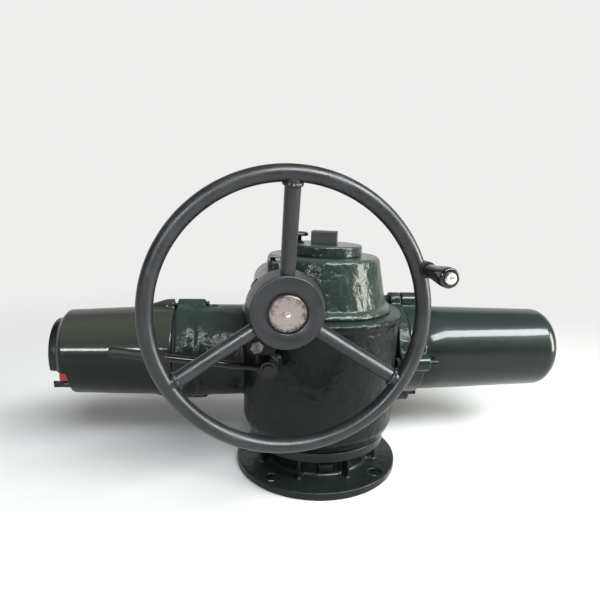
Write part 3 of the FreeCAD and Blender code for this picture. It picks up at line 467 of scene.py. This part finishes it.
for finish, members in nodeFinishes.items():
    dressed.update(members)
    for member in members:
        data = nodes[member].data
        data.materials.clear()
        data.materials.append(finishes[finish])
print("nodes without a finish of their own:", sorted(set(nodes) - dressed))


def smoothFaces(data):
    for polygon in data.polygons:
        polygon.use_smooth = True


# Settles an object's modifiers into its mesh
def settle(made):
    bpy.context.view_layer.update()
    done = bpy.data.meshes.new_from_object(made.evaluated_get(bpy.context.evaluated_depsgraph_get()))
    made.modifiers.clear()
    made.data = done


def showPiece(name, mesh, finish, body, replaced=(), smooth=35):
    bmesh.ops.recalc_face_normals(mesh, faces=mesh.faces)
    data = bpy.data.meshes.new(name)
    mesh.to_mesh(data)
    mesh.free()
    smoothFaces(data)
    data.set_sharp_from_angle(angle=math.radians(smooth))
    data.materials.append(finishes[finish])
    made = bpy.data.objects.new(name, data)
    bpy.context.scene.collection.objects.link(made)
    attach(made, body)
    if replaced:
        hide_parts(*replaced)
    return made


# Castings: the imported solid's skin is closed and its edges are run together, as sand and paint leave them
castLooks = {
    "caseCasting": {"node": "gear_case", "voxel": 2.3, "passes": 6, "finish": "caseEnamel",
                    "slot": "case_enamel"},
    "housingCasting": {"node": "top_housing", "voxel": 1.6, "passes": 5, "finish": "housingEnamel",
                       "slot": "case_enamel"},
    "capCasting": {"node": "cap_disk", "voxel": 0.9, "passes": 5, "finish": "housingEnamel",
                   "slot": "case_enamel"},
    "shieldCasting": {"node": "motor_shield", "voxel": 1.3, "passes": 4, "finish": "motorEnamel",
                      "slot": "case_enamel"},
    "noseCasting": {"node": "hand_bearing_cap", "voxel": 0.8, "passes": 4, "finish": "housingEnamel",
                    "slot": "case_enamel"},
    "plugForging": {"node": "stem_plug", "voxel": 0.6, "passes": 5, "finish": "plugPaint",
                    "slot": "case_enamel"},
}


def skinOver(made, voxel, passes):
    skin = made.modifiers.new("castSkin", "REMESH")
    skin.mode = "VOXEL"
    skin.voxel_size = voxel * mm
    rounds = made.modifiers.new("castRounds", "SMOOTH")
    rounds.factor = 0.5
    rounds.iterations = passes
    settle(made)
    smoothFaces(made.data)
    print(made.name, "faces:", len(made.data.polygons))


def castPiece(name, look):
    mesh = bmesh.new()
    mesh.from_mesh(nodes[look["node"]].data)
    bmesh.ops.remove_doubles(mesh, verts=mesh.verts, dist=0.02 * mm)
    made = showPiece(name, mesh, look["finish"], "root", [look["node"]], smooth=180)
    skinOver(made, look["voxel"], look["passes"])


for name, look in castLooks.items():
    castPiece(name, look)
print("castings done")


# Turned shapes: a profile of (radius, height) in mm spun about its axis and stood on a place
def turnedMesh(profile, place, along, steps=96):
    mesh = bmesh.new()
    verts = [mesh.verts.new((radius * mm, 0, height * mm)) for radius, height in profile]
    edges = [mesh.edges.new(pair) for pair in zip(verts, verts[1:])]
    bmesh.ops.spin(mesh, geom=verts + edges, cent=(0, 0, 0), axis=(0, 0, 1), angle=math.radians(360),
                   steps=steps, use_merge=True)
    bmesh.ops.remove_doubles(mesh, verts=mesh.verts, dist=0.004 * mm)
    turn = Vector(along).to_track_quat("Z", "X").to_matrix().to_4x4()
    bmesh.ops.transform(mesh, matrix=Matrix.Translation(Vector(place) * mm) @ turn, verts=mesh.verts)
    return mesh


# A ring lying flat round the origin, from a circle spun about z
def ringMesh(radius, tube, sides, steps):
    mesh = bmesh.new()
    upright = Matrix.Rotation(math.radians(90), 4, "X")
    bmesh.ops.create_circle(mesh, segments=sides, radius=tube * mm,
                            matrix=Matrix.Translation((radius * mm, 0, 0)) @ upright)
    bmesh.ops.spin(mesh, geom=mesh.verts[:] + mesh.edges[:], cent=(0, 0, 0), axis=(0, 0, 1),
                   angle=math.radians(360), steps=steps, use_merge=True)
    bmesh.ops.remove_doubles(mesh, verts=mesh.verts, dist=0.01 * mm)
    return mesh


def roundedEnd(radius, height, curve, count=7):
    return [(radius - curve + curve * math.cos(math.radians(90 * k / count)),
             height - curve + curve * math.sin(math.radians(90 * k / count))) for k in range(count + 1)]


# Motor cover: deep drawn shell with a rounded end, turned fine so that the long reflections run clean
motorLook = {"start": 152.2, "end": 370, "mouth": 64, "waist": 60, "round": 22, "axis": (0, 55, 147),
             "dent": 0.35, "dentScale": 14.0}


def motorShell(look):
    length = look["end"] - look["start"]
    profile = [(look["mouth"] - 6, 0), (look["mouth"] - 0.6, 0), (look["mouth"], 0.6)]
    profile += [(look["mouth"] + (look["waist"] - look["mouth"]) * k / 6,
                 0.6 + (length - look["round"] - 0.6) * k / 6)
                for k in range(1, 7)]
    profile += roundedEnd(look["waist"], length, look["round"], 12)[1:]
    profile += [(look["waist"] - look["round"] - 14, length), (12, length), (0, length)]
    mesh = turnedMesh(profile, (look["start"], look["axis"][1], look["axis"][2]), (1, 0, 0), steps=160)
    for vert in mesh.verts:
        lean = noise.noise(vert.co * look["dentScale"]) * look["dent"] * mm
        vert.co.yz += (vert.co.yz - Vector(look["axis"][1:]) * mm).normalized() * min(lean, 0)
    showPiece("motorShell", mesh, "motorEnamel", "root", ["motor_cover"], smooth=50)


motorShell(motorLook)

# Handwheel: drawn tube rolled to a ring, three bar spokes with a weld bead where each meets the rim
wheelLook = {"centre": (-63.5, -180, 250), "radius": 134, "tube": 8, "uneven": 0.16, "unevenScale": 60,
             "spokeTurns": (90, 210, 330), "spokeRadius": 7.75, "spokeStart": (29.5, -148), "bead": 2.3,
             "beadLumps": 0.9, "beadAt": 125.2, "lumpScale": 4.2, "lumpApart": 3.0, "beadDip": 0.2}


def wheelRim(look):
    mesh = ringMesh(look["radius"], look["tube"], 28, 200)
    turn = Matrix.Rotation(math.radians(90), 4, "X")
    bmesh.ops.transform(mesh, matrix=Matrix.Translation(Vector(look["centre"]) * mm) @ turn,
                        verts=mesh.verts)
    centre = Vector(look["centre"]) * mm
    for vert in mesh.verts:
        flat = Vector((vert.co.x - centre.x, 0, vert.co.z - centre.z)).normalized() * look["radius"] * mm
        outward = (vert.co - centre - flat).normalized()
        vert.co -= outward * abs(noise.noise(vert.co * look["unevenScale"])) * look["uneven"] * mm
    showPiece("wheelRim", mesh, "wheelPaint", "handwheel", ["handwheel_rim"])


def spokeLine(look, turn):
    turn = math.radians(turn)
    out = Vector((math.cos(turn), 0, math.sin(turn)))
    centre = Vector((look["centre"][0], 0, look["centre"][2]))
    first = centre + out * look["spokeStart"][0] + Vector((0, look["spokeStart"][1], 0))
    last = centre + out * look["radius"] + Vector((0, look["centre"][1], 0))
    return first, last


def weldBeads(look):
    for number, turn in enumerate(look["spokeTurns"], start=1):
        first, last = spokeLine(look, turn)
        share = (look["beadAt"] - look["spokeStart"][0]) / (look["radius"] - look["spokeStart"][0])
        place = first.lerp(last, share)
        mesh = ringMesh(look["spokeRadius"], look["bead"], 12, 72)
        for vert in mesh.verts:
            around = math.atan2(vert.co.y, vert.co.x)
            # the bead dips where the rim's tube curves away
            across = math.cos(around) ** 2
            lump = noise.noise(Vector((math.cos(around) * look["lumpScale"],
                                       math.sin(around) * look["lumpScale"],
                                       number * look["lumpApart"])))
            ring = Vector((math.cos(around), math.sin(around), 0)) * look["spokeRadius"] * mm
            vert.co = ring + (vert.co - ring) * (1 + look["beadLumps"] * 0.5 * lump)
            vert.co.z -= (1 - across) * look["beadDip"] * mm
        turnTo = (last - first).to_track_quat("Z", "Y").to_matrix().to_4x4()
        bmesh.ops.transform(mesh, matrix=Matrix.Translation(place * mm) @ turnTo, verts=mesh.verts)
        showPiece("weldBead%d" % number, mesh, "wheelPaint", "handwheel")


wheelRim(wheelLook)
weldBeads(wheelLook)

# Wheel hub: turned boss with rounded corners and a ring sunk round the shaft's end
hubLook = {"place": (-63.5, -135, 250), "length": 26, "back": 42, "face": 37.5, "bore": 19.2,
           "sink": 21.6, "sinkDeep": 3.2, "round": 1.6}


def turnedHub(look):
    profile = [(look["bore"], 0), (look["back"] - 0.8, 0), (look["back"], 0.8), (look["back"], 2.0)]
    profile += roundedEnd(look["face"] + 0.6, look["length"], look["round"], 5)
    profile += [(look["sink"] + 0.5, look["length"]), (look["sink"], look["length"] - 0.4),
                (look["sink"] - 0.3, look["length"] - look["sinkDeep"]),
                (look["bore"], look["length"] - look["sinkDeep"]), (look["bore"], 0)]
    mesh = turnedMesh(profile, look["place"], (0, -1, 0), steps=120)
    showPiece("turnedHub", mesh, "wheelPaint", "handwheel", ["handwheel_hub"], smooth=40)


turnedHub(hubLook)

# Shaft's end: a bright chamfer and a drilled centre
endLook = {"place": (-63.5, -161.6, 250), "radius": 18.9, "chamfer": 0.8, "proud": 1.9, "drill": 2.6,
           "drillFoot": 1.3}


def shaftEnd(look):
    profile = [(0, 0.2), (look["radius"], 0.2), (look["radius"], look["proud"] - look["chamfer"]),
               (look["radius"] - look["chamfer"], look["proud"]), (look["drill"] + 0.5, look["proud"]),
               (look["drill"], look["proud"] - 0.2), (look["drillFoot"], look["proud"] - 0.8),
               (0, look["proud"] - 0.8)]
    mesh = turnedMesh(profile, look["place"], (0, -1, 0), steps=96)
    showPiece("shaftEnd", mesh, "facedSteel", "handwheel", smooth=20)


shaftEnd(endLook)
print("handwheel done")

# Crank: black moulded grip with a rolled end, and a zinc plated cap screw sunk in it
crankLook = {"turn": 21, "circle": 140, "front": -191, "length": 50, "neck": 6.5, "swell": 9.2,
             "screw": 4.9, "socket": 2.5}


def crankPieces(look):
    turn = math.radians(look["turn"])
    place = (wheelLook["centre"][0] + look["circle"] * math.cos(turn), look["front"],
             wheelLook["centre"][2] + look["circle"] * math.sin(turn))
    neck, swell, length = look["neck"], look["swell"], look["length"]
    grip = [(4.15, 0.35), (neck - 0.5, 0.35), (neck, 0.9), (neck - 0.2, length * 0.10),
            (neck + 0.5, length * 0.35), (neck + 1.6, length * 0.58), (swell, length * 0.80),
            (swell, length - 2.4), (swell - 0.3, length - 1.3), (swell - 1.0, length - 0.5),
            (swell - 1.8, length - 0.35), (4.15, length - 0.35)]
    mesh = turnedMesh(grip, place, (0, -1, 0), steps=72)
    showPiece("crankGripMoulded", mesh, "crankPhenolic", "crank", ["crank_grip"],
              smooth=55)
    # the screw's head, dished round a hexagon socket, over the spindle
    head = [(3.9, -2.7), (3.9, length), (look["screw"] + 0.6, length),
            (look["screw"] + 0.6, length + 0.9), (look["screw"], length + 2.2),
            (look["screw"] - 1.1, length + 3.1), (look["socket"] + 0.6, length + 3.4),
            (look["socket"], length + 3.0), (look["socket"] - 0.1, length + 0.8), (0, length + 0.6)]
    mesh = turnedMesh(head, place, (0, -1, 0), steps=48)
    showPiece("crankScrew", mesh, "zincPlate", "handwheel", ["crank_spindle"], smooth=40)


crankPieces(crankLook)

# Declutch lever: a bar, and a rubber sleeve on its end with a rounded end and a rolled mouth
leverLook = {"shaft": (-78, -97.8, 170), "tilt": 7.5, "length": 175, "grip": 62, "radius": 5.8,
             "rod": 4.1, "rodStart": 9, "rodTuck": 8}


def leverAlong(look):
    tilt = math.radians(look["tilt"])
    return Vector((-math.cos(tilt), 0, math.sin(tilt)))


def leverGrip(look):
    along = leverAlong(look)
    place = Vector(look["shaft"]) + along * (look["length"] - look["grip"])
    radius, length = look["radius"], look["grip"]
    profile = [(look["rod"] + 0.05, 0.2), (radius - 0.6, 0), (radius, 0.7), (radius, 2.2),
               (radius - 0.5, 3.0), (radius - 0.45, length - 12), (radius - 0.1, length - 8)]
    profile += roundedEnd(radius - 0.1, length - 0.1, 2.6, 6) + [(0, length - 0.1)]
    mesh = turnedMesh(profile, place, along, steps=56)
    showPiece("leverGripSleeve", mesh, "gripRubber", "lever", ["lever_grip"], smooth=50)


leverGrip(leverLook)


def leverBar(look):
    along = leverAlong(look)
    place = Vector(look["shaft"]) + along * look["rodStart"]
    length = look["length"] - look["grip"] - look["rodStart"] + look["rodTuck"]
    profile = [(0, 0), (look["rod"] - 0.3, 0), (look["rod"], 1.5), (look["rod"], length), (0, length)]
    mesh = turnedMesh(profile, place, along, steps=40)
    showPiece("leverBar", mesh, "leverPaint", "lever", ["lever_rod"], smooth=40)


leverBar(leverLook)
print("crank and lever done")

# Hexagon heads with the corners turned off, as real bolts have them
boltLook = {
    "stopHead": {"place": (-91, -90, 195), "along": (0, -1, 0), "across": 7.8, "high": 7.0, "turn": 12,
                 "shank": 4, "deep": 18, "finish": "boltSteel"},
    "oilPlug": {"place": (-72.5, -102, 295.6), "along": (0, 0, 1), "across": 6.4, "high": 4.4, "turn": 0,
                "shank": 4.9, "deep": 10, "finish": "leverPaint"},
}
headBevel = 0.9


def hexHead(name, look, body, replaced):
    mesh = bmesh.new()
    bmesh.ops.create_circle(mesh, cap_ends=True, segments=6, radius=look["across"] * mm,
                            matrix=Matrix.Rotation(math.radians(look["turn"]), 4, "Z"))
    top = bmesh.ops.extrude_face_region(mesh, geom=mesh.faces[:])["geom"]
    bmesh.ops.translate(mesh, vec=(0, 0, look["high"] * mm),
                        verts=[v for v in top if isinstance(v, bmesh.types.BMVert)])
    rims = [e for e in mesh.edges if min(v.co.z for v in e.verts) > look["high"] * mm * 0.9]
    bmesh.ops.bevel(mesh, geom=rims, offset=headBevel * mm, segments=3, profile=0.5, affect="EDGES",
                    material=-1)
    bmesh.ops.create_cone(mesh, cap_ends=True, segments=32, radius1=look["shank"] * mm,
                          radius2=look["shank"] * mm, depth=look["deep"] * mm,
                          matrix=Matrix.Translation((0, 0, -look["deep"] / 2 * mm)))
    turn = Vector(look["along"]).to_track_quat("Z", "X").to_matrix().to_4x4()
    bmesh.ops.transform(mesh, matrix=Matrix.Translation(Vector(look["place"]) * mm) @ turn,
                        verts=mesh.verts)
    showPiece(name, mesh, look["finish"], body, replaced, smooth=30)


hexHead("stopHead", boltLook["stopHead"], "root", ["lever_stop_bolt"])
hexHead("oilPlug", boltLook["oilPlug"], "root", [])
print("bolts done")

# Electrical cover: enamelled shell with a chamfered end, a recess for the selectors, and three lugs
# that run out to ramps
coverLook = {"seam": 197, "end": 345, "low": 63.6, "waist": 57.0, "nose": 47.5, "chamfer": 8, "wall": 5,
             "axis": (55, 147), "recessFrom": 331.2, "recessTop": 132, "voxel": 1.4, "passes": 3,
             "lugCircle": 65, "lugRadius": 9, "lugTurns": (90, 180, 270), "lugLong": 11, "rampLong": 27,
             "rampTip": 2.2, "lugLean": 0.06, "cutFrom": -40, "cutTo": 150, "cutPast": 20}


def boxMesh(low, high):
    mesh = bmesh.new()
    bmesh.ops.create_cube(mesh, size=1)
    size = (Vector(high) - Vector(low)) * mm
    bmesh.ops.scale(mesh, vec=size, verts=mesh.verts)
    bmesh.ops.translate(mesh, vec=(Vector(high) + Vector(low)) * mm / 2, verts=mesh.verts)
    return mesh


def carve(made, mesh, operation):
    data = bpy.data.meshes.new("cutter")
    bmesh.ops.recalc_face_normals(mesh, faces=mesh.faces)
    mesh.to_mesh(data)
    mesh.free()
    cutter = bpy.data.objects.new("cutter", data)
    bpy.context.scene.collection.objects.link(cutter)
    cut = made.modifiers.new("carve", "BOOLEAN")
    cut.operation = operation
    cut.solver = "EXACT"
    cut.object = cutter
    settle(made)
    bpy.data.objects.remove(cutter)


def coverShell(look):
    length = look["end"] - look["seam"]
    low, waist, wall = look["low"], look["waist"], look["wall"]
    profile = [(low - wall, 0.4), (low - 0.8, 0.4), (low, 1.2), (waist, length - look["chamfer"]),
               (look["nose"], length), (0, length), (0, look["recessFrom"] - look["seam"] - wall),
               (waist - wall - 1, look["recessFrom"] - look["seam"] - wall), (low - wall, 0.4)]
    place = (-look["seam"], look["axis"][0], look["axis"][1])
    made = showPiece("coverShell", turnedMesh(profile, place, (-1, 0, 0), steps=128), "coverEnamel",
                     "root", ["electrical_cover"], smooth=30)
    for turn in look["lugTurns"]:
        turn = math.radians(turn)
        spot = (-look["seam"] - 0.4, look["axis"][0] - look["lugCircle"] * math.cos(turn),
                look["axis"][1] + look["lugCircle"] * math.sin(turn))
        lug = [(0, 0), (look["lugRadius"], 0), (look["lugRadius"], look["lugLong"]),
               (look["rampTip"], look["lugLong"] + look["rampLong"]),
               (0, look["lugLong"] + look["rampLong"])]
        carve(made, turnedMesh(lug, spot, (-1, 0, -look["lugLean"] * math.sin(turn)), steps=32), "UNION")
    carve(made, boxMesh((-look["end"] - look["cutPast"], look["cutFrom"], 0),
                        (-look["recessFrom"], look["cutTo"], look["recessTop"])), "DIFFERENCE")
    skinOver(made, look["voxel"], look["passes"])


coverShell(coverLook)

# Thrust base: bolting flange, neck, ring under the gear case, eight ribs and a cast pad at the front
baseLook = {"flange": 112.5, "thick": 11, "neck": 73, "ring": 93.5, "ringFrom": 41, "top": 53.95,
            "spigot": 77.9, "rise": 5.9, "bores": ((40.2, 9.6), (46.3, 22.6), (54.3, 59.9)),
            "holeCircle": 97.5, "hole": 9, "holeTurns": (45, 135, 225, 315), "ribTurn": 20.5, "ribs": 8,
            "ribThick": 4.6, "ribReach": 86, "padWide": 19, "padReach": 79, "pad": (20, 31), "voxel": 1.3,
            "passes": 2}


def thrustBase(look):
    inner = [(look["bores"][0][0], 0)]
    for (radius, high), (wider, _) in zip(look["bores"], look["bores"][1:]):
        inner += [(radius, high), (wider, high)]
    inner.append(look["bores"][-1])
    outer = [(look["spigot"], look["top"] + look["rise"]), (look["spigot"], look["top"]),
             (look["ring"], look["top"]), (look["ring"], look["ringFrom"]),
             (look["neck"] + 4, look["ringFrom"]), (look["neck"], look["ringFrom"] - 4),
             (look["neck"], look["thick"] + 3), (look["neck"] + 3, look["thick"]),
             (look["flange"] - 0.8, look["thick"]), (look["flange"], look["thick"] - 0.8),
             (look["flange"], 0.8), (look["flange"] - 0.8, 0), (look["bores"][0][0], 0)]
    made = showPiece("baseCasting", turnedMesh(inner + outer, (0, 0, 0), (0, 0, 1), steps=144),
                     "baseEnamel", "root", ["thrust_base"], smooth=180)
    ribs = bmesh.new()
    for k in range(look["ribs"]):
        rib = boxMesh((look["neck"] - 4, -look["ribThick"] / 2, look["thick"] - 1),
                      (look["ribReach"], look["ribThick"] / 2, look["ringFrom"] + 1))
        turn = math.radians(look["ribTurn"] + k * 360 / look["ribs"])
        bmesh.ops.rotate(rib, cent=(0, 0, 0), matrix=Matrix.Rotation(turn, 3, "Z"), verts=rib.verts)
        data = bpy.data.meshes.new("rib")
        rib.to_mesh(data)
        ribs.from_mesh(data)
        rib.free()
        bpy.data.meshes.remove(data)
    carve(made, ribs, "UNION")
    low, high = look["pad"]
    carve(made, boxMesh((-look["padWide"] / 2, -look["padReach"], low),
                        (look["padWide"] / 2, -look["neck"] + 6, high)), "UNION")
    for turn in look["holeTurns"]:
        turn = math.radians(turn)
        hole = [(0, -2), (look["hole"], -2), (look["hole"], look["thick"] + 2), (0, look["thick"] + 2)]
        spot = (look["holeCircle"] * math.cos(turn), look["holeCircle"] * math.sin(turn), 0)
        carve(made, turnedMesh(hole, spot, (0, 0, 1), steps=32), "DIFFERENCE")
    skinOver(made, look["voxel"], look["passes"])


thrustBase(baseLook)

# Black end bezel over the cover's nose, cut off level above the selectors
bezelLook = {"start": 344.4, "thick": 9.4, "back": 47, "face": 43, "round": 3, "sunk": 36,
             "sunkDeep": 1.2, "cut": 133, "cutPast": 30, "cutBehind": 10}


def endBezel(look):
    profile = [(0, 0), (look["back"], 0), (look["back"], 1.2)]
    profile += roundedEnd(look["face"] + 2.5, look["thick"], look["round"], 6)
    profile += [(look["sunk"] + 0.6, look["thick"]), (look["sunk"], look["thick"] - look["sunkDeep"]),
                (0, look["thick"] - look["sunkDeep"])]
    place = (-look["start"], coverLook["axis"][0], coverLook["axis"][1])
    made = showPiece("endBezel", turnedMesh(profile, place, (-1, 0, 0), steps=112), "bezelAbs", "root",
                     ["end_bezel"], smooth=30)
    carve(made, boxMesh((-look["start"] - look["cutPast"], coverLook["cutFrom"], 0),
                        (-look["start"] + look["cutBehind"], coverLook["cutTo"], look["cut"])),
          "DIFFERENCE")


endBezel(bezelLook)

# Breather on the cap disk: a moulded mushroom with its edge rolled over
ventLook = {"place": (-36, 6, 306.6), "stem": 6.5, "neck": 8, "head": 15, "high": 14.4}


def ventCap(look):
    profile = [(0, 0), (look["neck"] + 2, 0), (look["neck"] + 2, 1.6), (look["neck"], 2.4),
               (look["stem"], 4), (look["stem"], 9.6), (look["head"] - 0.8, 9.6), (look["head"], 10.4)]
    profile += roundedEnd(look["head"], look["high"], 2.6, 6) + [(0, look["high"] + 0.2)]
    mesh = turnedMesh(profile, look["place"], (0, 0, 1), steps=48)
    showPiece("ventCap", mesh, "ventPaint", "root", smooth=40)


ventCap(ventLook)

# Black plug in the side of the handwheel's housing
sidePlugLook = {"centre": (-63.5, -102, 250), "turn": 33.5, "from": 24, "to": 39, "radius": 6.4}


def sidePlug(look):
    turn = math.radians(look["turn"])
    along = Vector((-math.cos(turn), 0, math.sin(turn)))
    length = look["to"] - look["from"]
    profile = [(0, 0), (look["radius"], 0)] + roundedEnd(look["radius"], length, 1.8, 5)
    profile += [(2.6, length), (2.3, length - 1.6), (0, length - 1.6)]
    mesh = turnedMesh(profile, Vector(look["centre"]) + along * look["from"], along, steps=40)
    showPiece("sidePlug", mesh, "leverPaint", "root", smooth=40)


sidePlug(sidePlugLook)

# Selector knobs: round dials with a grip bar across, red for the drive and black for the mode
knobLooks = {
    "redSelector": {"place": (-331.5, 57, 106), "radius": 8.4, "dial": 15, "long": 26.5, "bar": 5.0,
                    "shank": 3.9, "finish": "knobRed",
                    "body": "red_knob", "slot": "red_plastic", "node": "red_selector"},
    "blackSelector": {"place": (-331.5, 34, 106), "radius": 4.8, "dial": 14, "long": 26.5, "bar": 3.6,
                      "shank": 3.9, "finish": "bezelAbs",
                      "body": "black_knob", "slot": "bezel_plastic", "node": "black_selector"},
}


def selectorKnob(name, look):
    radius = look["radius"]
    profile = [(0, -4), (look["shank"], -4), (look["shank"], 0),
               (radius, 0)] + roundedEnd(radius, look["dial"], 1.6, 5) + [(0, look["dial"])]
    made = showPiece(name, turnedMesh(profile, look["place"], (-1, 0, 0), steps=56), look["finish"],
                     look["body"], [look["node"]], smooth=40)
    x, y, z = look["place"]
    half = look["bar"] / 2
    bar = boxMesh((x - look["long"], y - half, z - radius + 0.3),
                  (x - look["dial"] + 2, y + half, z + radius - 0.3))
    bmesh.ops.bevel(bar, geom=bar.edges[:], offset=1.3 * mm, segments=3, profile=0.5, affect="EDGES",
                    material=-1)
    carve(made, bar, "UNION")
    made.data.set_sharp_from_angle(angle=math.radians(40))


for name, look in knobLooks.items():
    selectorKnob(name, look)
print("cover, vent, plug and selectors done")
